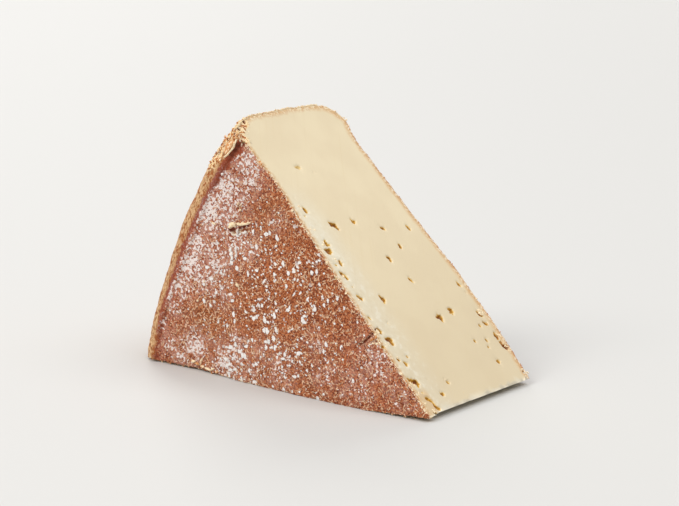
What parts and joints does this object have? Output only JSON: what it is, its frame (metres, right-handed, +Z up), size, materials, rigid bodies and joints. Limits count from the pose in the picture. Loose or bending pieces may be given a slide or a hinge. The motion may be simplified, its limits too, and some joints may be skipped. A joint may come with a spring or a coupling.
{
  "type": "cheese wedge",
  "caption": "Large wedge of semi-hard washed-rind cheese cut from a wheel, resting on a cut face: red-brown bloomed rind on sides and heel, smooth cream cut face with small eyes.",
  "frame": {"origin": "middle of the wedge's bounding box at the height of the flat cut face it rests on", "axes": "+Z up, +X from the heel of the wheel to the wedge's tip, -Y out of the broad rind side that the picture shows"},
  "size_m": [0.1664, 0.0972, 0.1197],
  "materials": {
    "cheese": "smooth cream paste on the cut faces, dry red-brown rind with a pale bloom elsewhere"
  },
  "bodies": {
    "root": {"cheese_wedge": "cheese"}
  },
  "joints": []
}
